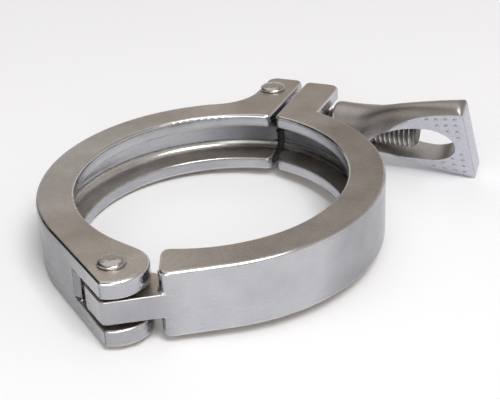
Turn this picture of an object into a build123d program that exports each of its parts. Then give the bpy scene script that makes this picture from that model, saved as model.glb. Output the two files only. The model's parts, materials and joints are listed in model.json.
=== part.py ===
from build123d import *
from math import acos, atan2, cos, degrees, hypot, radians, sin, sqrt, tan
import os

# Sanitary hinged clamp, heavy duty, for a three inch ferrule pair. Millimetres.
# Origin: the centre of the right half's ferrule seat, at half height. +Z is the
# pipe's axis, +Y points to the ears, +X along the swing bolt to the wing nut.
# It is built closed past round, as the clamp lies with nothing between its halves.

# half rings
body_height = 19.0
lip_radius = 43.4
ring_depth = 10.6
groove_depth = 6.9
groove_mouth = 10.7
groove_flank_angle = 11.0
groove_root_fillet = 3.2
groove_mouth_chamfer = 0.5
rim_fillet = 1.1

# hinge
hinge_x = 1.4
hinge_inset = 0.7
closing_angle = 11.3
hinge_pin_radius = 3.0
hinge_head_radius = 3.8
hinge_head_height = 1.2
pin_clearance = 0.05
tongue_thickness = 6.8
tongue_radius = 7.4
tongue_root_bite = 6.0
tongue_side_clearance = 1.1
tongue_end_margin = 0.1
tongue_corner_radius = 2.2
tongue_edge_fillet = 0.4
tongue_side_inset = 0.25
nose_inset = 1.05
clevis_pocket_clearance = 0.8
clevis_relief_radius = 12.0
clevis_relief_depth = 1.4
clevis_relief_shift = 5.5
nose_flat_angle = -127.3
tail_flat_angle = -57.0
tail_end_angle = 22.0
tail_end_gap = 2.2
tail_corner_radius = 2.4

# ears
ear_gap = 1.4
bolt_ear_face = 6.1
bolt_ear_width = 11.7
bolt_ear_reach = 10.0
nut_ear_width = 11.9
nut_ear_reach = 9.4
ear_corner_radius = 2.2
ear_outer_corner_radius = 3.2
lip_end_radius = 2.4
bolt_ear_blend_radius = 14.0
nut_ear_root_radius = 0.8

# swing bolt and its pin
bolt_radius = 4.7625
bolt_pin_x = -1.0
bolt_axis_reach = 9.7
bolt_pin_radius = 3.15
bolt_head_radius = 4.15
bolt_head_height = 1.3
eye_radius = 6.8
eye_thickness = 9.5
eye_floor_clearance = 0.9
eye_edge_chamfer = 0.5
bolt_length = 49.5
bolt_tip_chamfer = 1.3
bolt_slot_clearance = 0.35
bolt_floor_clearance = 0.9

# wing nut
nut_seat_gap = 1.3
boss_radius = 7.4
boss_length = 11.0
boss_end_fillet = 1.2
bore_clearance = 0.1
neck_length = 4.5
neck_width = 16.6
neck_thickness = 11.4
neck_flat_width = 5.4
shoulder_length = 5.5
shoulder_width = 20.4
shoulder_thickness = 8.0
shoulder_flat_width = 16.4
wing_thickness = 6.6
wing_root_length = 6.0
wing_root_width = 24.6
wing_length = 19.5
wing_end_width = 31.4
wing_crown = 0.9
wing_turn = 28.0
wing_edge_fillet = 0.6
window_wide_at = 31.3
window_half_width = 7.4
window_near_length = 18.5
window_far_length = 9.0

half_height = body_height / 2
outer_radius = lip_radius + ring_depth
groove_radius = lip_radius + groove_depth
hinge_y = hinge_inset - outer_radius
nose_radius = ring_depth - nose_inset
bolt_axis_y = outer_radius + bolt_axis_reach
bolt_ear_end = bolt_axis_y + bolt_ear_reach
nut_ear_end = bolt_axis_y + nut_ear_reach
hinge_radius = hypot(hinge_x, hinge_y)
hinge_angle = degrees(atan2(hinge_y, hinge_x))
bolt_slot_height = 2 * (bolt_radius + bolt_slot_clearance)
nut_ear_face = bolt_ear_face + ear_gap


def at_angle(radius, angle, centre=(0, 0)):
    """Point at a radius and an angle in degrees from a centre."""
    x = centre[0] + radius * cos(radians(angle))
    y = centre[1] + radius * sin(radians(angle))
    return (x, y)


def reach_along(point, angle):
    """How far a point lies along a direction, from the origin."""
    return point[0] * cos(radians(angle)) + point[1] * sin(radians(angle))


def crossing(angle_1, offset_1, angle_2, offset_2):
    """Where two lines meet, each given by its normal's angle and its distance."""
    turn = sin(radians(angle_2 - angle_1))
    x = (offset_1 * sin(radians(angle_2)) - offset_2 * sin(radians(angle_1))) / turn
    y = (offset_2 * cos(radians(angle_1)) - offset_1 * cos(radians(angle_2))) / turn
    return (x, y)


# The left half's arcs are struck from a centre that has swung about the hinge pin.
hinge_point = (hinge_x, hinge_y)
left_centre = at_angle(hinge_radius, hinge_angle + 180 - closing_angle, hinge_point)
left_hinge = (hinge_x - left_centre[0], hinge_y - left_centre[1])
left_hinge_angle = hinge_angle - closing_angle
left_base = Plane(origin=(left_centre[0], left_centre[1], 0))

# Ferrule groove, as a section through the seat's axis.
flank_drop = (groove_radius - lip_radius - groove_mouth_chamfer) * tan(radians(groove_flank_angle))
mouth_run_in = 2 * groove_mouth_chamfer
mouth_edge = groove_mouth / 2 + groove_mouth_chamfer + mouth_run_in
groove_section = [
    (lip_radius - mouth_run_in, mouth_edge),
    (lip_radius + groove_mouth_chamfer, groove_mouth / 2),
    (groove_radius, groove_mouth / 2 - flank_drop),
    (groove_radius, flank_drop - groove_mouth / 2),
    (lip_radius + groove_mouth_chamfer, -groove_mouth / 2),
    (lip_radius - mouth_run_in, -mouth_edge),
]

# The flat beside the hinge pin, shared by the left half's nose and the tongue's end.
nose_flat_offset = outer_radius - reach_along(left_hinge, nose_flat_angle)
nose_flat_reach = sqrt(nose_radius**2 - nose_flat_offset**2)
nose_flat_foot = at_angle(nose_flat_offset, nose_flat_angle, left_hinge)

# The tongue turns in a round pocket that clears its furthest corner.
tongue_end_offset = nose_flat_offset - tongue_end_margin
tongue_side_line = outer_radius - tongue_side_inset
tongue_side_offset = tongue_side_line - reach_along(hinge_point, tail_flat_angle)
corner_end = tongue_end_offset - tongue_corner_radius
corner_side = tongue_side_offset - tongue_corner_radius
corner_spread = radians(tail_flat_angle - nose_flat_angle)
corner_reach = sqrt(corner_end**2 + corner_side**2 - 2 * corner_end * corner_side * cos(corner_spread))
tongue_sweep = corner_reach / sin(corner_spread) + tongue_corner_radius
pocket_radius = max(tongue_sweep, nose_radius) + clevis_pocket_clearance
pocket_height = tongue_thickness + 2 * tongue_side_clearance

# ---------------------------------------------------------------- clevis half
# Investment casting: half ring, forked ear for the bolt's eye, forked hinge end.
ear_left = bolt_ear_face - bolt_ear_width - left_centre[0]
ear_right = bolt_ear_face - left_centre[0]
ear_top = bolt_ear_end - left_centre[1]
left_ear_foot = (ear_left, sqrt(outer_radius**2 - ear_left**2))
left_lip_foot = (ear_right, sqrt(lip_radius**2 - ear_right**2))
left_flat_start = at_angle(outer_radius, nose_flat_angle)
left_flat_end = at_angle(nose_flat_reach, nose_flat_angle + 90, nose_flat_foot)
nose_front = at_angle(nose_radius, left_hinge_angle + 90, left_hinge)
# a straight run, tangent to the lip and to the nose, joins the two
run_angle = left_hinge_angle - degrees(acos((lip_radius + nose_radius) / hinge_radius))
run_start = at_angle(nose_radius, run_angle + 180, left_hinge)
run_end = at_angle(lip_radius, run_angle)
bolt_in_left = (bolt_pin_x - left_centre[0], bolt_axis_y - left_centre[1])

with BuildPart() as clevis_half:
    with BuildSketch(left_base.offset(-half_height)) as left_outline:
        with BuildLine():
            Polyline(left_lip_foot, (ear_right, ear_top), (ear_left, ear_top), left_ear_foot)
            ThreePointArc(left_ear_foot, at_angle(outer_radius, 180), left_flat_start)
            Line(left_flat_start, left_flat_end)
            ThreePointArc(left_flat_end, nose_front, run_start)
            Line(run_start, run_end)
            ThreePointArc(run_end, at_angle(lip_radius, 180), left_lip_foot)
        make_face()
        for corner, radius in (
            ((ear_left, ear_top), ear_outer_corner_radius),
            ((ear_right, ear_top), ear_corner_radius),
            (left_ear_foot, bolt_ear_blend_radius),
            (left_lip_foot, lip_end_radius),
        ):
            fillet(left_outline.vertices().sort_by_distance((*corner, 0))[:1], radius=radius)
    extrude(amount=body_height)
    # ferrule groove
    with BuildSketch(Plane(origin=left_base.origin, x_dir=(1, 0, 0), z_dir=(0, -1, 0))) as left_groove:
        with BuildLine():
            Polyline(*groove_section, close=True)
        make_face()
        fillet(left_groove.vertices().sort_by(Axis.X)[-2:], radius=groove_root_fillet)
    revolve(axis=Axis(left_base.origin, (0, 0, 1)), mode=Mode.SUBTRACT)
    # pocket and relief for the tongue, cut through the nose
    with BuildSketch(left_base) as tongue_pocket:
        with Locations(left_hinge):
            Circle(pocket_radius)
        relief_out = nose_flat_offset + clevis_relief_radius - clevis_relief_depth
        relief_foot = at_angle(relief_out, nose_flat_angle, left_hinge)
        with Locations(at_angle(clevis_relief_shift, nose_flat_angle - 90, relief_foot)):
            Circle(clevis_relief_radius)
    extrude(amount=pocket_height / 2, both=True, mode=Mode.SUBTRACT)
    # fork for the bolt's eye
    with BuildSketch(left_base) as eye_slot:
        floor_y = bolt_in_left[1] - eye_radius - eye_floor_clearance
        with Locations(((ear_left + ear_right) / 2, floor_y)):
            Rectangle(3 * bolt_ear_width, bolt_ear_end, align=(Align.CENTER, Align.MIN))
    extrude(amount=bolt_slot_height / 2, both=True, mode=Mode.SUBTRACT)
    left_rims = clevis_half.faces().sort_by(Axis.Z)
    fillet(left_rims[0].edges() + left_rims[-1].edges(), radius=rim_fillet)
    # pin holes
    with BuildSketch(left_base.offset(-half_height)) as left_holes:
        with Locations(left_hinge):
            Circle(hinge_pin_radius + pin_clearance)
        with Locations(bolt_in_left):
            Circle(bolt_pin_radius + pin_clearance)
    extrude(amount=body_height, mode=Mode.SUBTRACT)

clevis_half.part.label = "clevis_half"

# ---------------------------------------------------------------- tongue half
# Investment casting: half ring, forked ear for the bolt's shank, solid tongue.
nut_ear_side = nut_ear_face + nut_ear_width
right_lip_foot = (nut_ear_face, sqrt(lip_radius**2 - nut_ear_face**2))
right_ear_foot = (nut_ear_side, sqrt(outer_radius**2 - nut_ear_side**2))
tail_end_offset = reach_along(hinge_point, tail_end_angle) + nose_radius + tail_end_gap
tail_outer = crossing(tail_flat_angle, outer_radius, tail_end_angle, tail_end_offset)
tail_foot = at_angle(tail_end_offset, tail_end_angle)
tail_reach = sqrt(lip_radius**2 - tail_end_offset**2)
tail_inner = at_angle(tail_reach, tail_end_angle - 90, tail_foot)

tongue_inner_radius = hinge_radius - tongue_radius
tongue_root_span = nose_radius + tail_end_gap + tongue_root_bite
tongue_root_angle = hinge_angle + degrees(tongue_root_span / hinge_radius)
tongue_root_outer = tongue_side_line / cos(radians(tongue_root_angle - tail_flat_angle))
tongue_flat_line = reach_along(hinge_point, nose_flat_angle) + tongue_end_offset
tongue_corner = crossing(nose_flat_angle, tongue_flat_line, tail_flat_angle, tongue_side_line)
tongue_flat_foot = at_angle(tongue_end_offset, nose_flat_angle, hinge_point)
tongue_flat_reach = sqrt(tongue_radius**2 - tongue_end_offset**2)
tongue_flat_top = at_angle(tongue_flat_reach, nose_flat_angle - 90, tongue_flat_foot)
tongue_start = at_angle(tongue_radius, hinge_angle + 180, hinge_point)
tongue_turn = at_angle(tongue_radius, hinge_angle + 225, hinge_point)
tongue_mid_angle = (hinge_angle + tongue_root_angle) / 2

with BuildPart() as tongue:
    with BuildSketch(Plane.XY.offset(-tongue_thickness / 2)) as tongue_outline:
        with BuildLine():
            ThreePointArc(tongue_start, tongue_turn, tongue_flat_top)
            Polyline(
                tongue_flat_top,
                tongue_corner,
                at_angle(tongue_root_outer, tongue_root_angle),
                at_angle(tongue_inner_radius, tongue_root_angle),
            )
            ThreePointArc(
                at_angle(tongue_inner_radius, tongue_root_angle),
                at_angle(tongue_inner_radius, tongue_mid_angle),
                tongue_start,
            )
        make_face()
        fillet(tongue_outline.vertices().sort_by_distance((*tongue_corner, 0))[:1], radius=tongue_corner_radius)
    extrude(amount=tongue_thickness)
    tongue_faces = tongue.faces().sort_by(Axis.Z)
    fillet(tongue_faces[0].edges() + tongue_faces[-1].edges(), radius=tongue_edge_fillet)

with BuildPart() as tongue_half:
    with BuildSketch(Plane.XY.offset(-half_height)) as right_outline:
        with BuildLine():
            Polyline(right_lip_foot, (nut_ear_face, nut_ear_end), (nut_ear_side, nut_ear_end), right_ear_foot)
            ThreePointArc(right_ear_foot, at_angle(outer_radius, 0), at_angle(outer_radius, tail_flat_angle))
            Polyline(at_angle(outer_radius, tail_flat_angle), tail_outer, tail_inner)
            ThreePointArc(tail_inner, at_angle(lip_radius, 0), right_lip_foot)
        make_face()
        for corner, radius in (
            ((nut_ear_face, nut_ear_end), ear_corner_radius),
            ((nut_ear_side, nut_ear_end), ear_outer_corner_radius),
            (right_ear_foot, nut_ear_root_radius),
            (right_lip_foot, lip_end_radius),
            (tail_outer, tail_corner_radius),
            (tail_inner, tail_corner_radius),
        ):
            fillet(right_outline.vertices().sort_by_distance((*corner, 0))[:1], radius=radius)
    extrude(amount=body_height)
    right_rims = tongue_half.faces().sort_by(Axis.Z)
    fillet(right_rims[0].edges() + right_rims[-1].edges(), radius=rim_fillet)
    # ferrule groove
    with BuildSketch(Plane.XZ) as right_groove:
        with BuildLine():
            Polyline(*groove_section, close=True)
        make_face()
        fillet(right_groove.vertices().sort_by(Axis.X)[-2:], radius=groove_root_fillet)
    revolve(axis=Axis.Z, mode=Mode.SUBTRACT)
    # fork for the bolt's shank, open at the ear's end
    with BuildSketch(Plane.XY) as shank_slot:
        shank_floor_y = bolt_axis_y - bolt_radius - bolt_floor_clearance
        with Locations(((nut_ear_face + nut_ear_side) / 2, shank_floor_y)):
            Rectangle(2 * nut_ear_width, nut_ear_end, align=(Align.CENTER, Align.MIN))
    extrude(amount=bolt_slot_height / 2, both=True, mode=Mode.SUBTRACT)
    add(tongue.part)
    # hinge pin hole
    with BuildSketch(Plane.XY.offset(-half_height)) as tongue_hole:
        with Locations(hinge_point):
            Circle(hinge_pin_radius + pin_clearance)
    extrude(amount=body_height, mode=Mode.SUBTRACT)

tongue_half.part.label = "tongue_half"

# ---------------------------------------------------------------- rivets
# Round bar headed over at both ends into shallow domes, seated on the forks' faces.
hinge_dome_radius = (hinge_head_radius**2 + hinge_head_height**2) / (2 * hinge_head_height)
hinge_dome_height = sqrt(hinge_dome_radius**2 - hinge_head_radius**2 / 4) - hinge_dome_radius + hinge_head_height
bolt_dome_radius = (bolt_head_radius**2 + bolt_head_height**2) / (2 * bolt_head_height)
bolt_dome_height = sqrt(bolt_dome_radius**2 - bolt_head_radius**2 / 4) - bolt_dome_radius + bolt_head_height

with BuildPart() as hinge_pin:
    with BuildSketch(Plane.XY.offset(-half_height)):
        with Locations(hinge_point):
            Circle(hinge_pin_radius)
    extrude(amount=body_height)
    for side in (1, -1):
        head_base = Plane(origin=(hinge_x, hinge_y, side * half_height), x_dir=(1, 0, 0), z_dir=(0, -side, 0))
        with BuildSketch(head_base):
            with BuildLine():
                Line((0, 0), (hinge_head_radius, 0))
                ThreePointArc(
                    (hinge_head_radius, 0), (hinge_head_radius / 2, hinge_dome_height), (0, hinge_head_height)
                )
                Line((0, hinge_head_height), (0, 0))
            make_face()
        revolve(axis=Axis((hinge_x, hinge_y, 0), (0, 0, 1)))

hinge_pin.part.label = "hinge_pin"

with BuildPart() as bolt_pin:
    with BuildSketch(Plane.XY.offset(-half_height)):
        with Locations((bolt_pin_x, bolt_axis_y)):
            Circle(bolt_pin_radius)
    extrude(amount=body_height)
    for side in (1, -1):
        head_base = Plane(origin=(bolt_pin_x, bolt_axis_y, side * half_height), x_dir=(1, 0, 0), z_dir=(0, -side, 0))
        with BuildSketch(head_base):
            with BuildLine():
                Line((0, 0), (bolt_head_radius, 0))
                ThreePointArc((bolt_head_radius, 0), (bolt_head_radius / 2, bolt_dome_height), (0, bolt_head_height))
                Line((0, bolt_head_height), (0, 0))
            make_face()
        revolve(axis=Axis((bolt_pin_x, bolt_axis_y, 0), (0, 0, 1)))

bolt_pin.part.label = "bolt_pin"

# ---------------------------------------------------------------- swing bolt
# Forged eye bolt, 3/8 inch coarse thread, on its pin in the clevis half's ear.
with BuildPart() as swing_bolt:
    with BuildSketch(Plane.XY.offset(-eye_thickness / 2)) as eye:
        with Locations((bolt_pin_x, bolt_axis_y)):
            Circle(eye_radius)
    extrude(amount=eye_thickness)
    chamfer(swing_bolt.edges(), length=eye_edge_chamfer)
    with BuildSketch(Plane.YZ.offset(bolt_pin_x)) as shank:
        with Locations((bolt_axis_y, 0)):
            Circle(bolt_radius)
    extrude(amount=bolt_length)
    chamfer(swing_bolt.faces().sort_by(Axis.X)[-1].edges(), length=bolt_tip_chamfer)
    with BuildSketch(Plane.XY.offset(-eye_thickness)) as eye_hole:
        with Locations((bolt_pin_x, bolt_axis_y)):
            Circle(bolt_pin_radius + pin_clearance)
    extrude(amount=2 * eye_thickness, mode=Mode.SUBTRACT)

swing_bolt.part.label = "swing_bolt"

# ---------------------------------------------------------------- wing nut
# One casting: a round threaded boss that flattens into a tapering wing. The
# wing's window breaks into the threaded bore, so the bolt's end shows in it.
nut_seat_x = nut_ear_side + nut_seat_gap
wing_across = (0, -sin(radians(wing_turn)), cos(radians(wing_turn)))
wing_front = (0, -cos(radians(wing_turn)), -sin(radians(wing_turn)))
nut_base = Plane(origin=(nut_seat_x, bolt_axis_y, 0), x_dir=wing_across, z_dir=(1, 0, 0))
wing_plane = Plane(origin=(nut_seat_x, bolt_axis_y, 0), x_dir=(1, 0, 0), z_dir=wing_front)
neck_at = boss_length + neck_length
shoulder_at = neck_at + shoulder_length
wing_at = shoulder_at + wing_root_length
nut_length = wing_at + wing_length
boss_flat_width = 0.4
boss_flat_height = 2 * sqrt(boss_radius**2 - (boss_flat_width / 2) ** 2)
wing_root_flat = wing_root_width - 2 * wing_crown
wing_end_flat = wing_end_width - 2 * wing_crown

nut_stations = [
    (boss_length, boss_flat_width, 2 * boss_radius, boss_flat_height),
    (neck_at, neck_flat_width, neck_width, neck_thickness),
    (shoulder_at, shoulder_flat_width, shoulder_width, shoulder_thickness),
    (wing_at, wing_root_flat, wing_root_width, wing_thickness),
    (nut_length, wing_end_flat, wing_end_width, wing_thickness),
]

with BuildPart() as wing_nut:
    for stations, straight in ((nut_stations[:4], False), (nut_stations[3:], True)):
        for station, flat, width, thickness in stations:
            with BuildSketch(nut_base.offset(station)):
                with BuildLine():
                    Line((-flat / 2, thickness / 2), (flat / 2, thickness / 2))
                    ThreePointArc((flat / 2, thickness / 2), (width / 2, 0), (flat / 2, -thickness / 2))
                    Line((flat / 2, -thickness / 2), (-flat / 2, -thickness / 2))
                    ThreePointArc((-flat / 2, -thickness / 2), (-width / 2, 0), (-flat / 2, thickness / 2))
                make_face()
        loft(ruled=straight)
    fillet(wing_nut.faces().sort_by(Axis.X)[-1].edges(), radius=wing_edge_fillet)
    # round boss
    with BuildSketch(nut_base) as boss:
        Circle(boss_radius)
    extrude(amount=boss_length)
    fillet(wing_nut.faces().sort_by(Axis.X)[0].edges(), radius=boss_end_fillet)
    # teardrop window
    with BuildSketch(wing_plane) as window:
        with BuildLine():
            EllipticalCenterArc((window_wide_at, 0), window_far_length, window_half_width, start_angle=-90, arc_size=180)
            EllipticalCenterArc((window_wide_at, 0), window_near_length, window_half_width, start_angle=90, arc_size=180)
        make_face()
    extrude(amount=wing_end_width, both=True, mode=Mode.SUBTRACT)
    # threaded bore, to the window's widest place
    with BuildSketch(nut_base) as bore:
        Circle(bolt_radius + bore_clearance)
    extrude(amount=window_wide_at, mode=Mode.SUBTRACT)

wing_nut.part.label = "wing_nut"

os.makedirs("parts", exist_ok=True)
export_step(clevis_half.part, "parts/clevis_half.step")
export_step(tongue_half.part, "parts/tongue_half.step")
export_step(hinge_pin.part, "parts/hinge_pin.step")
export_step(bolt_pin.part, "parts/bolt_pin.step")
export_step(swing_bolt.part, "parts/swing_bolt.step")
export_step(wing_nut.part, "parts/wing_nut.step")
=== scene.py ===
import json
import math
import bmesh
import bpy
from mathutils import Matrix, Vector

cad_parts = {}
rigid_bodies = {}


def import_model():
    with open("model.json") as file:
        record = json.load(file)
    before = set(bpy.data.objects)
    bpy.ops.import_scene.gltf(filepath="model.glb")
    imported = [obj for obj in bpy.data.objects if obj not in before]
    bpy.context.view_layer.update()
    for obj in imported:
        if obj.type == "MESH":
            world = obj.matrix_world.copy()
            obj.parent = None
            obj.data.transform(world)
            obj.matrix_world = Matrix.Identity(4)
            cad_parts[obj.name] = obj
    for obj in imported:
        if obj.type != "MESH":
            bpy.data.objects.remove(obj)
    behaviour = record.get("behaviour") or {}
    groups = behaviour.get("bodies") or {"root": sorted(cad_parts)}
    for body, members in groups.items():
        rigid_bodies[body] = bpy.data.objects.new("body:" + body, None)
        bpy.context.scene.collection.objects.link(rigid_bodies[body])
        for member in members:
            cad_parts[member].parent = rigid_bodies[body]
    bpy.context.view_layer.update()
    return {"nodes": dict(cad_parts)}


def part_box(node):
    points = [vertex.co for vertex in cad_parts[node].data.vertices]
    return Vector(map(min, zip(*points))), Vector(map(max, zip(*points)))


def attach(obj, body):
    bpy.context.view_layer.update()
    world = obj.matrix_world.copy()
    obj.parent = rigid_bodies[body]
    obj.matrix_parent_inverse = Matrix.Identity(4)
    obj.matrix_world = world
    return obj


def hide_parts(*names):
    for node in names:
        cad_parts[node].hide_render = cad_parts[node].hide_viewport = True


for leftover in list(bpy.data.objects):
    bpy.data.objects.remove(leftover)
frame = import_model()

# ------------------------------------------------------------------ half rings
# Two investment castings in 316 stainless steel, the clevis half and the tongue half.
# Their flat faces are linished on a belt, their walls and rims buffed to a soft shine,
# and the ferrule groove has painted shade towards the bolt.


def linear(colour):
    """An sRGB hex colour, such as "#c4beb6", as linear red, green, blue and alpha."""
    channels = [int(colour[i:i + 2], 16) / 255 for i in (1, 3, 5)]
    return [c / 12.92 if c <= 0.04045 else ((c + 0.055) / 1.055) ** 2.4 for c in channels] + [1.0]


def add(tree, kind, settings, inputs):
    """Adds one node with its settings. Each input takes a value, or a node or socket to link."""
    made = tree.nodes.new("ShaderNode" + kind)
    for name, value in settings.items():
        setattr(made, name, value)
    for name, value in inputs.items():
        if isinstance(value, bpy.types.Node):
            value = value.outputs[0]
        if isinstance(value, bpy.types.NodeSocket):
            tree.links.new(value, made.inputs[name])
        else:
            made.inputs[name].default_value = value
    return made


def new_finish(name):
    """An empty material, named for the metal and its finish."""
    material = bpy.data.materials.new(name)
    material.use_nodes = True
    material.node_tree.nodes.clear()
    return material


def as_object(name, mesh):
    """Turns a bmesh into an object in the scene."""
    data = bpy.data.meshes.new(name)
    mesh.to_mesh(data)
    mesh.free()
    made = bpy.data.objects.new(name, data)
    bpy.context.scene.collection.objects.link(made)
    return made


def smooth(thing, crease):
    """Smooth shading, kept sharp where faces meet at more than the crease angle."""
    thing.data.shade_smooth()
    thing.data.set_sharp_from_angle(angle=math.radians(crease))


def keep_modified(thing):
    """Replaces an object's mesh with what its modifiers make of it."""
    evaluated = thing.evaluated_get(bpy.context.evaluated_depsgraph_get())
    thing.data = bpy.data.meshes.new_from_object(evaluated)
    thing.modifiers.clear()


MM = 0.001

# Buffed cast stainless: belt-ground flat faces look warmer and duller than the walls,
# which mirror softly with the slight waves of a cast skin. Buffed rims catch the light.
ring_steel = new_finish("buffed_cast_stainless")
tree = ring_steel.node_tree
place = add(tree, "TexCoord", {}, {})
millimetres = add(tree, "VectorMath", {"operation": "SCALE"}, {
    0: place.outputs["Object"], "Scale": 1 / MM})
facing = add(tree, "SeparateXYZ", {}, {0: place.outputs["Normal"]})
level = add(tree, "Math", {"operation": "ABSOLUTE"}, {0: facing.outputs["Z"]})
flat_face = add(tree, "MapRange", {"interpolation_type": "SMOOTHSTEP"}, {
    "Value": level, "From Min": 0.86, "From Max": 0.99})
rim = add(tree, "MapRange", {"interpolation_type": "SMOOTHSTEP"}, {
    "Value": level, "From Min": 0.12, "From Max": 0.5})
# cloudy tint, 18 mm across, where the buff pressed harder or lighter
cloud = add(tree, "TexNoise", {}, {"Vector": millimetres, "Scale": 1 / 18, "Detail": 3.0})
# belt grain, 0.1 mm on the real face, drawn 0.4 mm wide so that it shows
grain = add(tree, "TexNoise", {}, {"Vector": millimetres, "Scale": 1 / 0.4, "Detail": 3.0})
# buffing lines along the walls, 0.3 mm apart and many times as long
stretch = add(tree, "VectorMath", {"operation": "MULTIPLY"}, {0: millimetres, 1: (0.06, 0.06, 1.0)})
lines = add(tree, "TexNoise", {}, {"Vector": stretch, "Scale": 1 / 0.45, "Detail": 2.0})
# waves of the cast skin, 6 mm across
waves = add(tree, "TexNoise", {}, {"Vector": millimetres, "Scale": 1 / 6, "Detail": 1.0})
wall_tint = add(tree, "Mix", {"data_type": "RGBA"}, {
    0: cloud, 6: linear("#a8a9b1"), 7: linear("#c8c8cb")})
# painted light: the flat faces go from a warm grey to a paler, cooler painted grey towards the
# ring's far side from the bolt
where = add(tree, "SeparateXYZ", {}, {0: millimetres})
patches = add(tree, "MapRange", {}, {"Value": cloud, "From Min": 0.32, "From Max": 0.68})
warm_tint = add(tree, "Mix", {"data_type": "RGBA"}, {
    0: patches, 6: linear("#b4aba2"), 7: linear("#d3ccc5")})
painted_pale_tint = add(tree, "Mix", {"data_type": "RGBA"}, {
    0: patches, 6: linear("#b6b2ae"), 7: linear("#d8d6d4")})
painted_pale_side = add(tree, "MapRange", {"interpolation_type": "SMOOTHSTEP"}, {
    "Value": where.outputs["X"], "From Min": -10.0, "From Max": -42.0})
face_tint = add(tree, "Mix", {"data_type": "RGBA"}, {
    0: painted_pale_side, 6: warm_tint.outputs[2], 7: painted_pale_tint.outputs[2]})
rim_tint = add(tree, "Mix", {"data_type": "RGBA"}, {
    0: rim, 6: wall_tint.outputs[2], 7: linear("#dddbd8")})
tint = add(tree, "Mix", {"data_type": "RGBA"}, {
    0: flat_face, 6: rim_tint.outputs[2], 7: face_tint.outputs[2]})
face_grain = add(tree, "MapRange", {}, {
    "Value": grain, "From Min": 0.3, "From Max": 0.7, "To Min": 0.82, "To Max": 1.1})
wall_cloud = add(tree, "MapRange", {}, {
    "Value": cloud, "From Min": 0.35, "From Max": 0.65, "To Min": 0.93, "To Max": 1.04})
mottle = add(tree, "Mix", {"data_type": "FLOAT"}, {0: flat_face, 2: wall_cloud, 3: face_grain})
# A painted darkening stands in for dark surroundings that the stage doesn't have: in the
# groove towards the bolt, round the outer wall's two ends, and on the faces' bolt side.
flat_place = add(tree, "VectorMath", {"operation": "MULTIPLY"}, {0: millimetres, 1: (1, 1, 0)})
outwards = add(tree, "VectorMath", {"operation": "NORMALIZE"}, {0: flat_place})
radial = add(tree, "VectorMath", {"operation": "DOT_PRODUCT"}, {
    0: place.outputs["Normal"], 1: outwards})
inner = add(tree, "MapRange", {"interpolation_type": "SMOOTHSTEP"}, {
    "Value": radial.outputs["Value"], "From Min": -0.2, "From Max": -0.5})
outer = add(tree, "MapRange", {"interpolation_type": "SMOOTHSTEP"}, {
    "Value": radial.outputs["Value"], "From Min": 0.3, "From Max": 0.7})
bolt_side = add(tree, "MapRange", {"interpolation_type": "SMOOTHSTEP"}, {
    "Value": where.outputs["X"], "From Min": -30.0, "From Max": 4.0})
from_middle = add(tree, "Math", {"operation": "ABSOLUTE"}, {0: where.outputs["Z"]})
in_groove = add(tree, "MapRange", {"interpolation_type": "SMOOTHSTEP"}, {
    "Value": from_middle, "From Min": 6.8, "From Max": 5.0, "To Min": 0.0, "To Max": 0.78})
inner_bolt_side = add(tree, "Math", {"operation": "MULTIPLY"}, {0: inner, 1: bolt_side})
groove_dark = add(tree, "Math", {"operation": "MULTIPLY"}, {0: inner_bolt_side, 1: in_groove})
left_end = add(tree, "MapRange", {"interpolation_type": "SMOOTHSTEP"}, {
    "Value": where.outputs["X"], "From Min": 26.0, "From Max": -38.0, "To Max": 0.62})
right_end = add(tree, "MapRange", {"interpolation_type": "SMOOTHSTEP"}, {
    "Value": where.outputs["X"], "From Min": 45.0, "From Max": 55.0, "To Max": 0.4})
wall_end = add(tree, "Math", {"operation": "ADD"}, {0: left_end, 1: right_end})
wall_dark = add(tree, "Math", {"operation": "MULTIPLY"}, {0: outer, 1: wall_end})
right_face = add(tree, "MapRange", {"interpolation_type": "SMOOTHSTEP"}, {
    "Value": where.outputs["X"], "From Min": 0.0, "From Max": 40.0, "To Max": 0.25})
face_dark = add(tree, "Math", {"operation": "MULTIPLY"}, {0: flat_face, 1: right_face})
round_dark = add(tree, "Math", {"operation": "ADD"}, {0: groove_dark, 1: wall_dark})
dark = add(tree, "Math", {"operation": "ADD"}, {0: round_dark, 1: face_dark})
# random tone mottle with the painted shade of the groove, wall ends and faces taken off
mottle_less_painted_shade = add(tree, "Math", {"operation": "SUBTRACT"}, {0: mottle, 1: dark})
base = add(tree, "VectorMath", {"operation": "SCALE"}, {0: tint.outputs[2], "Scale": mottle_less_painted_shade})
wall_rough = add(tree, "MapRange", {}, {
    "Value": lines, "From Min": 0.3, "From Max": 0.7, "To Min": 0.2, "To Max": 0.3})
face_rough = add(tree, "MapRange", {}, {
    "Value": grain, "From Min": 0.3, "From Max": 0.7, "To Min": 0.3, "To Max": 0.4})
rough = add(tree, "Mix", {"data_type": "FLOAT"}, {0: flat_face, 2: wall_rough, 3: face_rough})
wave_bump = add(tree, "Bump", {}, {"Height": waves, "Strength": 0.35, "Distance": 0.1 * MM})
line_bump = add(tree, "Bump", {}, {
    "Height": lines, "Strength": 0.1, "Distance": 0.01 * MM, "Normal": wave_bump})
grain_bump = add(tree, "Bump", {}, {
    "Height": grain, "Strength": 0.3, "Distance": 0.015 * MM, "Normal": line_bump})
skin = add(tree, "BsdfPrincipled", {}, {
    "Base Color": base, "Metallic": 1.0, "Roughness": rough, "Normal": grain_bump})
add(tree, "OutputMaterial", {}, {"Surface": skin})

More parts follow.
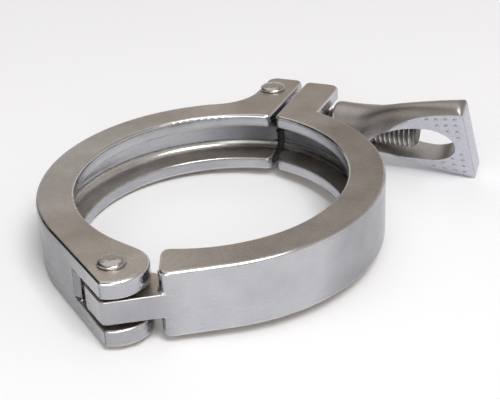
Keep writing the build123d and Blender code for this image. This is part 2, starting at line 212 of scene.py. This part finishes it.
# Buffing rounds every edge that the casting left sharp.
buffed_width = 0.7
buffed_steps = 3
weld_distance = 0.003
flat_within = math.radians(0.6)
sharp_from = math.radians(55)
half_crease = 35
for name in ("clevis_half", "tongue_half"):
    casting = bmesh.new()
    casting.from_mesh(frame["nodes"][name].data)
    bmesh.ops.remove_doubles(casting, verts=casting.verts, dist=weld_distance * MM)
    bmesh.ops.dissolve_limit(
        casting, angle_limit=flat_within, verts=casting.verts, edges=casting.edges)
    half = as_object("buffed_" + name, casting)
    rounding = half.modifiers.new("rounding", "BEVEL")
    rounding.width = buffed_width * MM
    rounding.segments = buffed_steps
    rounding.limit_method = "ANGLE"
    rounding.angle_limit = sharp_from
    rounding.use_clamp_overlap = False
    rounding.miter_outer = "MITER_ARC"
    keep_modified(half)
    smooth(half, half_crease)
    # large flat faces keep one normal, so that only the rounding shades round
    half.modifiers.new("flat_faces", "WEIGHTED_NORMAL").keep_sharp = True
    keep_modified(half)
    half.data.materials.clear()
    half.data.materials.append(ring_steel)
    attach(half, name)
    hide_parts(name)

# --------------------------------------------------------------------- rivets
# Stainless bar through each fork, cold-headed into a rounded button at both ends.
# The heading hammer leaves shallow dents, and handling leaves small nicks.
half_height = 9.5
head_height = 1.45
head_radii = {"hinge_pin": 3.8, "bolt_pin": 4.1}
shaft_radii = {"hinge_pin": 3.0, "bolt_pin": 3.15}
# a head's outline: share of its height and of its radius
head_outline = ((0.0, 0.93), (0.12, 0.99), (0.28, 1.0), (0.47, 0.97), (0.64, 0.9), (0.79, 0.78),
                (0.9, 0.61), (0.97, 0.4), (1.0, 0.16))


def lathe(outline, axis_point, axis, segments=96):
    """A closed solid of (distance along the axis, radius) points turned about an axis."""
    mesh = bmesh.new()
    axis = Vector(axis)
    side = axis.orthogonal().normalized()
    rings = []
    for along, radius in outline:
        ring = []
        for i in range(segments):
            turned = Matrix.Rotation(2 * math.pi * i / segments, 3, axis) @ side
            ring.append(mesh.verts.new((Vector(axis_point) + axis * along + turned * radius) * MM))
        rings.append(ring)
    for ring, following in zip(rings, rings[1:]):
        for i in range(segments):
            j = (i + 1) % segments
            mesh.faces.new((ring[i], ring[j], following[j], following[i]))
    mesh.faces.new(reversed(rings[0]))
    mesh.faces.new(rings[-1])
    bmesh.ops.recalc_face_normals(mesh, faces=mesh.faces)
    return mesh


# Cold-headed stainless: bright where the hammer burnished it, dull in the small nicks
rivet_steel = new_finish("cold_headed_stainless")
tree = rivet_steel.node_tree
place = add(tree, "TexCoord", {}, {})
millimetres = add(tree, "VectorMath", {"operation": "SCALE"}, {
    0: place.outputs["Object"], "Scale": 1 / MM})
nicks = add(tree, "TexNoise", {}, {"Vector": millimetres, "Scale": 1 / 0.7, "Detail": 3.0})
dents = add(tree, "TexNoise", {}, {"Vector": millimetres, "Scale": 1 / 2.6, "Detail": 1.0})
tint = add(tree, "Mix", {"data_type": "RGBA"}, {
    0: nicks, 6: linear("#a39e99"), 7: linear("#d6d3d0")})
rough = add(tree, "MapRange", {}, {
    "Value": nicks, "From Min": 0.3, "From Max": 0.7, "To Min": 0.16, "To Max": 0.3})
dent_bump = add(tree, "Bump", {}, {"Height": dents, "Strength": 0.8, "Distance": 0.35 * MM})
nick_bump = add(tree, "Bump", {}, {
    "Height": nicks, "Strength": 0.25, "Distance": 0.03 * MM, "Normal": dent_bump})
skin = add(tree, "BsdfPrincipled", {}, {
    "Base Color": tint.outputs[2], "Metallic": 1.0, "Roughness": rough, "Normal": nick_bump})
add(tree, "OutputMaterial", {}, {"Surface": skin})

for name, head_radius in head_radii.items():
    low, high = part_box(name)
    centre = (low + high) / 2 / MM
    upper = [(half_height + rise * head_height, reach * head_radius)
             for rise, reach in head_outline]
    lower = [(-along, radius) for along, radius in reversed(upper)]
    shaft = shaft_radii[name]
    rivet = as_object("headed_" + name, lathe(
        lower + [(-half_height, shaft), (half_height, shaft)] + upper, centre, (0, 0, 1)))
    smooth(rivet, 50)
    rivet.data.materials.append(rivet_steel)
    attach(rivet, "clevis_half")
    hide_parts(name)

# ----------------------------------------------------------------- swing bolt
# Forged stainless eye bolt with a rolled 3/8 inch coarse thread. It swings on the
# bolt pin, lies through the tongue half's slot and carries the wing nut.
bolt_pin_x = -1.0
bolt_axis_y = 63.7
thread_radius = 4.7
thread_depth = 0.95
thread_pitch = 1.5875
thread_start = 11.0
thread_runout = 2.0
thread_segments = 64
bolt_tip_x = 48.5
tip_chamfer = 1.3
eye_radius = 6.8
eye_half_thickness = 4.75
eye_round = 0.6
eye_hole_radius = 3.2


def thread_height(x, phase):
    """How far the thread stands above its root, where phase runs 0 to 1 over a pitch."""
    crest = 0.14
    flank = 0.31
    distance = abs(phase - 0.5)
    if distance < crest / 2:
        rise = 1.0
    elif distance < crest / 2 + flank:
        rise = 1 - (distance - crest / 2) / flank
    else:
        rise = 0.0
    run_in = min(1.0, max(0.0, (x - thread_start) / thread_runout))
    return thread_depth * (1 - (1 - rise) * run_in)


# The shank is one helical sheet, its rows following the thread, closed at both ends.
shank = bmesh.new()
phases = (0.0, 0.06, 0.16, 0.26, 0.36, 0.43, 0.5, 0.57, 0.64, 0.74, 0.84, 0.94)
turns = math.ceil((bolt_tip_x - bolt_pin_x) / thread_pitch) + 2
rows = []
for step in range(turns * thread_segments + 1):
    angle = 2 * math.pi * step / thread_segments
    row = []
    for phase in phases:
        x = bolt_pin_x + (step / thread_segments + phase - 1) * thread_pitch
        radius = thread_radius - thread_depth + thread_height(x, phase)
        if x <= bolt_pin_x:
            x, radius = bolt_pin_x, thread_radius
        if x >= bolt_tip_x:
            x, radius = bolt_tip_x, thread_radius - tip_chamfer
        radius = min(radius, thread_radius - tip_chamfer + (bolt_tip_x - x))
        row.append(shank.verts.new((x * MM, (bolt_axis_y + radius * math.cos(angle)) * MM,
                                    radius * math.sin(angle) * MM)))
    rows.append(row)
for step in range(len(rows) - 1):
    for i in range(len(phases) - 1):
        shank.faces.new((rows[step][i], rows[step][i + 1],
                         rows[step + 1][i + 1], rows[step + 1][i]))
    after = step + thread_segments
    if after + 1 < len(rows):
        shank.faces.new((rows[step][-1], rows[after][0],
                         rows[after + 1][0], rows[step + 1][-1]))
bmesh.ops.remove_doubles(shank, verts=shank.verts, dist=0.004 * MM)
bmesh.ops.dissolve_degenerate(shank, edges=shank.edges, dist=0.002 * MM)
loose = [v for v in shank.verts if not v.link_faces]
bmesh.ops.delete(shank, geom=loose, context="VERTS")
bmesh.ops.holes_fill(shank, edges=[e for e in shank.edges if e.is_boundary], sides=0)
bmesh.ops.recalc_face_normals(shank, faces=shank.faces)
bolt = as_object("threaded_swing_bolt", shank)

# eye: a thick disc with rounded edges, drilled for the pin
eye_outline = [(-eye_half_thickness, eye_radius - eye_round)]
for side in (-1, 1):
    for turn in range(0, 5):
        angle = math.radians(22.5 * (turn if side < 0 else 4 - turn))
        eye_outline.append((side * (eye_half_thickness - eye_round + eye_round * math.cos(angle)),
                            eye_radius - eye_round + eye_round * math.sin(angle)))
eye = as_object("bolt_eye", lathe(eye_outline[1:], (bolt_pin_x, bolt_axis_y, 0), (0, 0, 1)))
drill = as_object("eye_drill", lathe(
    [(-2 * eye_half_thickness, eye_hole_radius), (2 * eye_half_thickness, eye_hole_radius)],
    (bolt_pin_x, bolt_axis_y, 0), (0, 0, 1)))


def combine(target, tool, operation):
    """Joins or cuts the target with the tool, keeps the result and deletes the tool."""
    modifier = target.modifiers.new(operation, "BOOLEAN")
    modifier.operation = operation
    modifier.solver = "EXACT"
    modifier.object = tool
    keep_modified(target)
    bpy.data.objects.remove(tool)


combine(bolt, eye, "UNION")
combine(bolt, drill, "DIFFERENCE")
smooth(bolt, 35)
# loose on its pin, the bolt droops a little, and the nut with it
droop_angle = math.radians(0.4)
droop = (Matrix.Translation(Vector((bolt_pin_x, bolt_axis_y, 0)) * MM)
         @ Matrix.Rotation(droop_angle, 4, "Y")
         @ Matrix.Translation(Vector((-bolt_pin_x, -bolt_axis_y, 0)) * MM))
bolt.data.transform(droop)

# Rolled stainless thread: bright worn crests over roots that are darker and duller
bolt_steel = new_finish("rolled_thread_stainless")
tree = bolt_steel.node_tree
place = add(tree, "TexCoord", {}, {})
millimetres = add(tree, "VectorMath", {"operation": "SCALE"}, {
    0: place.outputs["Object"], "Scale": 1 / MM})
from_axis = add(tree, "VectorMath", {"operation": "SUBTRACT"}, {
    0: millimetres, 1: (0, bolt_axis_y, 0)})
across = add(tree, "VectorMath", {"operation": "MULTIPLY"}, {0: from_axis, 1: (0, 1, 1)})
radius = add(tree, "VectorMath", {"operation": "LENGTH"}, {0: across})
crest = add(tree, "MapRange", {}, {
    "Value": radius.outputs["Value"], "From Min": thread_radius - thread_depth,
    "From Max": thread_radius})
speckle = add(tree, "TexNoise", {}, {"Vector": millimetres, "Scale": 1 / 0.6, "Detail": 3.0})
worn = add(tree, "Mix", {"data_type": "RGBA"}, {
    0: speckle, 6: linear("#d0cdca"), 7: linear("#e6e4e2")})
tint = add(tree, "Mix", {"data_type": "RGBA"}, {
    0: crest, 6: linear("#6e6a66"), 7: worn.outputs[2]})
rough = add(tree, "MapRange", {}, {"Value": crest, "To Min": 0.5, "To Max": 0.26})
speckle_bump = add(tree, "Bump", {}, {"Height": speckle, "Strength": 0.3, "Distance": 0.02 * MM})
skin = add(tree, "BsdfPrincipled", {}, {
    "Base Color": tint.outputs[2], "Metallic": 1.0, "Roughness": rough, "Normal": speckle_bump})
add(tree, "OutputMaterial", {}, {"Surface": skin})
bolt.data.materials.clear()
bolt.data.materials.append(bolt_steel)
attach(bolt, "swing_bolt")
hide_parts("swing_bolt")

# ------------------------------------------------------------------- wing nut
# One stainless casting, tumbled rather than buffed, so its skin is duller and
# finely pitted. Grip pips are cast on the wing's front face.
wing_steel = new_finish("tumbled_cast_stainless")
tree = wing_steel.node_tree
place = add(tree, "TexCoord", {}, {})
millimetres = add(tree, "VectorMath", {"operation": "SCALE"}, {
    0: place.outputs["Object"], "Scale": 1 / MM})
cloud = add(tree, "TexNoise", {}, {"Vector": millimetres, "Scale": 1 / 9, "Detail": 3.0})
# pitting about 0.4 mm across, left by the shell mould's grit
pits = add(tree, "TexNoise", {}, {"Vector": millimetres, "Scale": 1 / 0.45, "Detail": 4.0})
lumps = add(tree, "TexNoise", {}, {"Vector": millimetres, "Scale": 1 / 4, "Detail": 2.0})
crown_tint = add(tree, "Mix", {"data_type": "RGBA"}, {
    0: cloud, 6: linear("#a09a93"), 7: linear("#b9b5b1")})
# A painted cooler, paler tint on the faces that look down or out along the bolt stands in
# for a bright surface in front of the wing that the stage doesn't have.
facing = add(tree, "SeparateXYZ", {}, {0: place.outputs["Normal"]})
front_face = add(tree, "MapRange", {"interpolation_type": "SMOOTHSTEP"}, {
    "Value": facing.outputs["Z"], "From Min": -0.1, "From Max": -0.4})
end_face = add(tree, "MapRange", {"interpolation_type": "SMOOTHSTEP"}, {
    "Value": facing.outputs["X"], "From Min": 0.8, "From Max": 0.95})
broad = add(tree, "Math", {"operation": "MAXIMUM"}, {0: front_face, 1: end_face})
tint = add(tree, "Mix", {"data_type": "RGBA"}, {
    0: broad, 6: crown_tint.outputs[2], 7: linear("#cccdd6")})
pit_tint = add(tree, "MapRange", {}, {
    "Value": pits, "From Min": 0.35, "From Max": 0.6, "To Min": 0.85, "To Max": 1.03})
base = add(tree, "VectorMath", {"operation": "SCALE"}, {0: tint.outputs[2], "Scale": pit_tint})
rough = add(tree, "MapRange", {}, {
    "Value": pits, "From Min": 0.3, "From Max": 0.7, "To Min": 0.44, "To Max": 0.34})
lump_bump = add(tree, "Bump", {}, {"Height": lumps, "Strength": 0.5, "Distance": 0.15 * MM})
pit_bump = add(tree, "Bump", {}, {
    "Height": pits, "Strength": 0.4, "Distance": 0.04 * MM, "Normal": lump_bump})
skin = add(tree, "BsdfPrincipled", {}, {
    "Base Color": base, "Metallic": 1.0, "Roughness": rough, "Normal": pit_bump})
add(tree, "OutputMaterial", {}, {"Surface": skin})

nut_seat_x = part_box("wing_nut")[0].x / MM
nut_length = 46.5
wing_turn = math.radians(25)
bore_radius = 5.0
# along the nut: half thickness, half width of the flat, and reach above and below the axis
nut_stations = (
    (0.0, 6.3, 0.05, 6.3, 6.3), (0.35, 7.05, 0.05, 7.05, 7.05), (1.2, 7.4, 0.05, 7.4, 7.4),
    (6.0, 7.4, 0.05, 7.4, 7.4), (10.0, 7.3, 0.1, 7.6, 7.6), (13.0, 6.9, 0.3, 8.4, 8.4),
    (15.5, 6.3, 0.9, 9.4, 9.5), (18.1, 5.5, 2.8, 10.5, 10.8), (21.3, 4.6, 6.6, 11.7, 11.9),
    (24.5, 4.0, 9.2, 12.7, 12.7), (27.7, 3.6, 10.8, 13.5, 13.3), (31.0, 3.4, 12.0, 14.1, 13.8),
    (37.3, 3.3, 13.6, 15.1, 14.6), (43.7, 3.3, 14.7, 15.9, 15.0), (46.5, 3.3, 15.2, 16.2, 15.15))
end_round = 0.7
top_corner = 3.2
low_corner = 1.8
# the end's slant: from where the wing is flat, by how much at its middle, and by how much
# more at its upper edge
slant_from, slant_middle, slant_edge, slant_reach = 27.0, 1.3, 1.5, 16.0
crease_from, crease_length = 14.0, 10.0


def along_nut(s, column):
    """A station value at distance s, on a smooth curve through the stations."""
    marks = [station[0] for station in nut_stations]
    values = [station[column] for station in nut_stations]
    i = max(0, min(len(marks) - 2, sum(mark <= s for mark in marks) - 1))
    span = marks[i + 1] - marks[i]
    t = min(1.0, (s - marks[i]) / span)
    slopes = []
    for k in (i, i + 1):
        before, after = max(0, k - 1), min(len(marks) - 1, k + 1)
        slopes.append((values[after] - values[before]) / (marks[after] - marks[before]))
    return ((2 * t**3 - 3 * t**2 + 1) * values[i] + (t**3 - 2 * t**2 + t) * span * slopes[0]
            + (3 * t**2 - 2 * t**3) * values[i + 1] + (t**3 - t**2) * span * slopes[1])


def corner_limit(s, radius):
    """How much a corner of that radius takes off the width near the nut's end."""
    into = s - (nut_length - radius)
    return radius - math.sqrt(max(0.0, radius**2 - into**2)) if into > 0 else 0.0


def end_shift(s, v):
    """The wing's end is cut at a slant, so its upper corner stands further back."""
    share = min(1.0, max(0.0, (s - slant_from) / (nut_length - slant_from)))
    return -(slant_middle + slant_edge * v / slant_reach) * share


def wing_point(s, v, w):
    """A point along the nut, across the wing, and out of the wing's front face."""
    return Vector((nut_seat_x + s,
                   bolt_axis_y - v * math.sin(wing_turn) - w * math.cos(wing_turn),
                   v * math.cos(wing_turn) - w * math.sin(wing_turn))) * MM


def nut_point(s, v, w):
    """The same, on the casting itself, whose end is slanted."""
    return wing_point(s + end_shift(s, v), v, w)


casting = bmesh.new()
flat_steps = 10
side_steps = 12
rings = []
distances = [0.0, 0.12, 0.35, 0.7, 1.2] + [1.2 + 0.8 * i for i in range(1, 53)]
distances += [nut_length - top_corner * (1 - math.sin(math.radians(10 * i))) for i in range(1, 10)]
distances = sorted(d for d in set(distances) if d < nut_length - 0.01) + [nut_length]
for s in distances:
    half = along_nut(s, 1) - corner_limit(s, end_round)
    flat = along_nut(s, 2)
    upper = along_nut(s, 3) - corner_limit(s, top_corner)
    lower = along_nut(s, 4) - corner_limit(s, low_corner)
    flat_up, flat_low = min(flat, upper - 0.03), min(flat + (lower - upper) * 0.9, lower - 0.03)
    # round at the boss, creased along the wing's flat faces
    crease = min(1.0, max(0.0, (s - crease_from) / crease_length))
    power = 0.5 + 0.45 * crease
    ring = []
    for sign, edge, reach in ((1, flat_up, upper), (-1, flat_low, lower)):
        other = flat_low if sign > 0 else flat_up
        for i in range(side_steps):
            t = math.cos(math.pi * i / side_steps)
            bulge = max(0.0, 1 - t * t) ** power
            v = sign * (edge + (reach - edge) * bulge)
            ring.append(casting.verts.new(nut_point(s, v, sign * t * half)))
        for i in range(flat_steps):
            v = edge + (-other - edge) * i / flat_steps
            ring.append(casting.verts.new(nut_point(s, sign * v, -sign * half)))
    rings.append(ring)
for ring, following in zip(rings, rings[1:]):
    for i in range(len(ring)):
        j = (i + 1) % len(ring)
        casting.faces.new((ring[i], ring[j], following[j], following[i]))
casting.faces.new(reversed(rings[0]))
casting.faces.new(rings[-1])
bmesh.ops.remove_doubles(casting, verts=casting.verts, dist=0.002 * MM)
bmesh.ops.recalc_face_normals(casting, faces=casting.faces)
nut = as_object("cast_wing_nut", casting)

# teardrop window through the wing, and the threaded bore that opens into it
window_at, window_drop = 31.3, -0.9
window_half_width, window_near, window_far = 7.4, 18.5, 9.3
window_steps = 72
through = 20.0
window = bmesh.new()
layers = []
for w in (-through, through):
    layer = []
    for i in range(window_steps):
        angle = 2 * math.pi * i / window_steps
        reach = window_far if math.cos(angle) > 0 else window_near
        s = window_at + reach * math.cos(angle)
        v = window_drop + window_half_width * math.sin(angle)
        layer.append(window.verts.new(wing_point(s, v, w)))
    layers.append(layer)
for i in range(window_steps):
    j = (i + 1) % window_steps
    window.faces.new((layers[0][i], layers[0][j], layers[1][j], layers[1][i]))
window.faces.new(reversed(layers[0]))
window.faces.new(layers[1])
bmesh.ops.recalc_face_normals(window, faces=window.faces)
combine(nut, as_object("window_cutter", window), "DIFFERENCE")
bore_chamfer = 0.6
bore_outline = [
    (nut_seat_x - 2, bore_radius + bore_chamfer), (nut_seat_x, bore_radius + bore_chamfer),
    (nut_seat_x + bore_chamfer, bore_radius), (nut_seat_x + window_at, bore_radius)]
combine(nut, as_object("bore_cutter", lathe(
    bore_outline, (0, bolt_axis_y, 0), (1, 0, 0))), "DIFFERENCE")
nut.data.transform(droop)
smooth(nut, 32)
nut.data.materials.clear()
nut.data.materials.append(wing_steel)
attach(nut, "wing_nut")
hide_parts("wing_nut")

# grip pips, in a triangle of four, three, two and one at each of the wing's outer corners
pip_radius = 0.7
pip_height = 0.32
pip_sunk = 0.08
pip_spacing, row_spacing, end_margin = 3.4, 2.8, 3.2
wing_half_thickness = 3.3
pips = bmesh.new()
for column, count in enumerate((4, 3, 2, 1)):
    for row in range(count):
        for side, margin in ((1, 3.3), (-1, 2.7)):
            s = nut_length - end_margin - pip_spacing * column
            edge = along_nut(s, 3 if side > 0 else 4)
            v = side * (edge - margin - row_spacing * row)
            foot = droop @ nut_point(s, v, wing_half_thickness - pip_sunk)
            outward = (nut_point(s, v, wing_half_thickness + 1)
                       - nut_point(s, v, wing_half_thickness))
            outline = [(-0.2, pip_radius)]
            for turn in range(5):
                angle = math.radians(20 * turn)
                outline.append(((pip_height + pip_sunk) * math.sin(angle),
                                pip_radius * math.cos(angle)))
            dome = lathe(outline, foot / MM, outward.normalized(), segments=16)
            held = bpy.data.meshes.new("pip")
            dome.to_mesh(held)
            dome.free()
            pips.from_mesh(held)
            bpy.data.meshes.remove(held)
grip = as_object("wing_pips", pips)
smooth(grip, 60)
grip.data.materials.append(wing_steel)
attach(grip, "wing_nut")

# ---------------------------------------------------------------------- stage
# Pale floor under the three points the clamp rests on: the hinge rivet's underside,
# the clevis half's rim and the wing's lower corner.
rest_points = [Vector(point) * MM for point in (
    (0.92, -53.47, -10.72), (-40.68, -14.26, -9.52), (66.4, 67.9, -15.35))]
floor_up = (rest_points[1] - rest_points[0]).cross(rest_points[2] - rest_points[0]).normalized()
if floor_up.z < 0:
    floor_up.negate()
floor_mesh = bmesh.new()
bmesh.ops.create_grid(floor_mesh, x_segments=1, y_segments=1, size=4.0)
floor = as_object("floor", floor_mesh)
floor.matrix_world = (Matrix.Translation(rest_points[0])
                      @ floor_up.to_track_quat("Z", "Y").to_matrix().to_4x4())
paper = new_finish("matt_white_paper")
tree = paper.node_tree
fibre = add(tree, "TexNoise", {}, {"Scale": 40.0, "Detail": 2.0})
shade = add(tree, "Mix", {"data_type": "RGBA"}, {
    0: fibre, 6: linear("#f6f6f7"), 7: linear("#f9f9fa")})
sheet = add(tree, "BsdfDiffuse", {}, {"Color": shade.outputs[2]})
add(tree, "OutputMaterial", {}, {"Surface": sheet})
floor.data.materials.append(paper)

# Room: a pale horizon, warm grey walls and a dimmer ceiling, with a black curtain to
# the left that puts dark reflections beside the bright ones
room = bpy.data.worlds.new("room")
room.use_nodes = True
room.node_tree.nodes.clear()
tree = room.node_tree
direction = add(tree, "TexCoord", {}, {})
height = add(tree, "SeparateXYZ", {}, {0: direction.outputs["Generated"]})
wall = add(tree, "ValToRGB", {}, {0: height.outputs["Z"]})
stops = wall.color_ramp.elements
stops[0].position, stops[0].color = 0.0, (0.86, 0.87, 0.9, 1)
stops[1].position, stops[1].color = 1.0, (0.3, 0.3, 0.32, 1)
for position, colour in ((0.1, (0.8, 0.8, 0.82, 1)), (0.26, (0.5, 0.46, 0.42, 1)),
                         (0.6, (0.42, 0.39, 0.36, 1)), (0.8, (0.28, 0.27, 0.27, 1))):
    stop = stops.new(position)
    stop.color = colour
towards_curtain = add(tree, "VectorMath", {"operation": "DOT_PRODUCT"}, {
    0: direction.outputs["Generated"], 1: Vector((-0.88, 0.03, 0.45)).normalized()})
curtain = add(tree, "MapRange", {"interpolation_type": "SMOOTHSTEP"}, {
    "Value": towards_curtain.outputs["Value"], "From Min": 0.8, "From Max": 0.94})
seen = add(tree, "Mix", {"data_type": "RGBA"}, {
    0: curtain, 6: wall.outputs[0], 7: (0.012, 0.012, 0.014, 1)})
sky = add(tree, "Background", {}, {"Color": seen.outputs[2], "Strength": 1.0})
add(tree, "OutputWorld", {}, {"Surface": sky})
bpy.context.scene.world = room

for name, where, size, watts in (
    ("window_light", (0.67, -0.48, 1.28), 0.67, 14.3),
    ("front_light", (0.2, -0.95, 0.5), 0.6, 2.8),
    ("ceiling_light", (-0.5, 0.5, 1.5), 1.4, 3.8),
):
    lamp = bpy.data.objects.new(name, bpy.data.lights.new(name, "AREA"))
    lamp.data.size = size
    lamp.data.energy = watts
    lamp.location = where
    lamp.rotation_mode = "QUATERNION"
    lamp.rotation_quaternion = Vector(where).to_track_quat("Z", "Y")
    bpy.context.scene.collection.objects.link(lamp)

camera = bpy.data.objects.new("camera", bpy.data.cameras.new("camera"))
camera.data.sensor_width = 36
camera.data.lens = 81.94
camera_back = Vector((0.3529, -0.8116, 0.4655)).normalized()
camera_right = Vector((0.9251, 0.3773, -0.0435))
camera_up = camera_back.cross(camera_right).normalized()
camera_right = camera_up.cross(camera_back)
camera.matrix_world = Matrix.Translation(Vector((130.4, -262.11, 152.95)) * MM) @ Matrix(
    (camera_right, camera_up, camera_back)).transposed().to_4x4()
bpy.context.scene.collection.objects.link(camera)
bpy.context.scene.camera = camera
bpy.context.scene.view_settings.view_transform = "Standard"

bpy.context.view_layer.update()
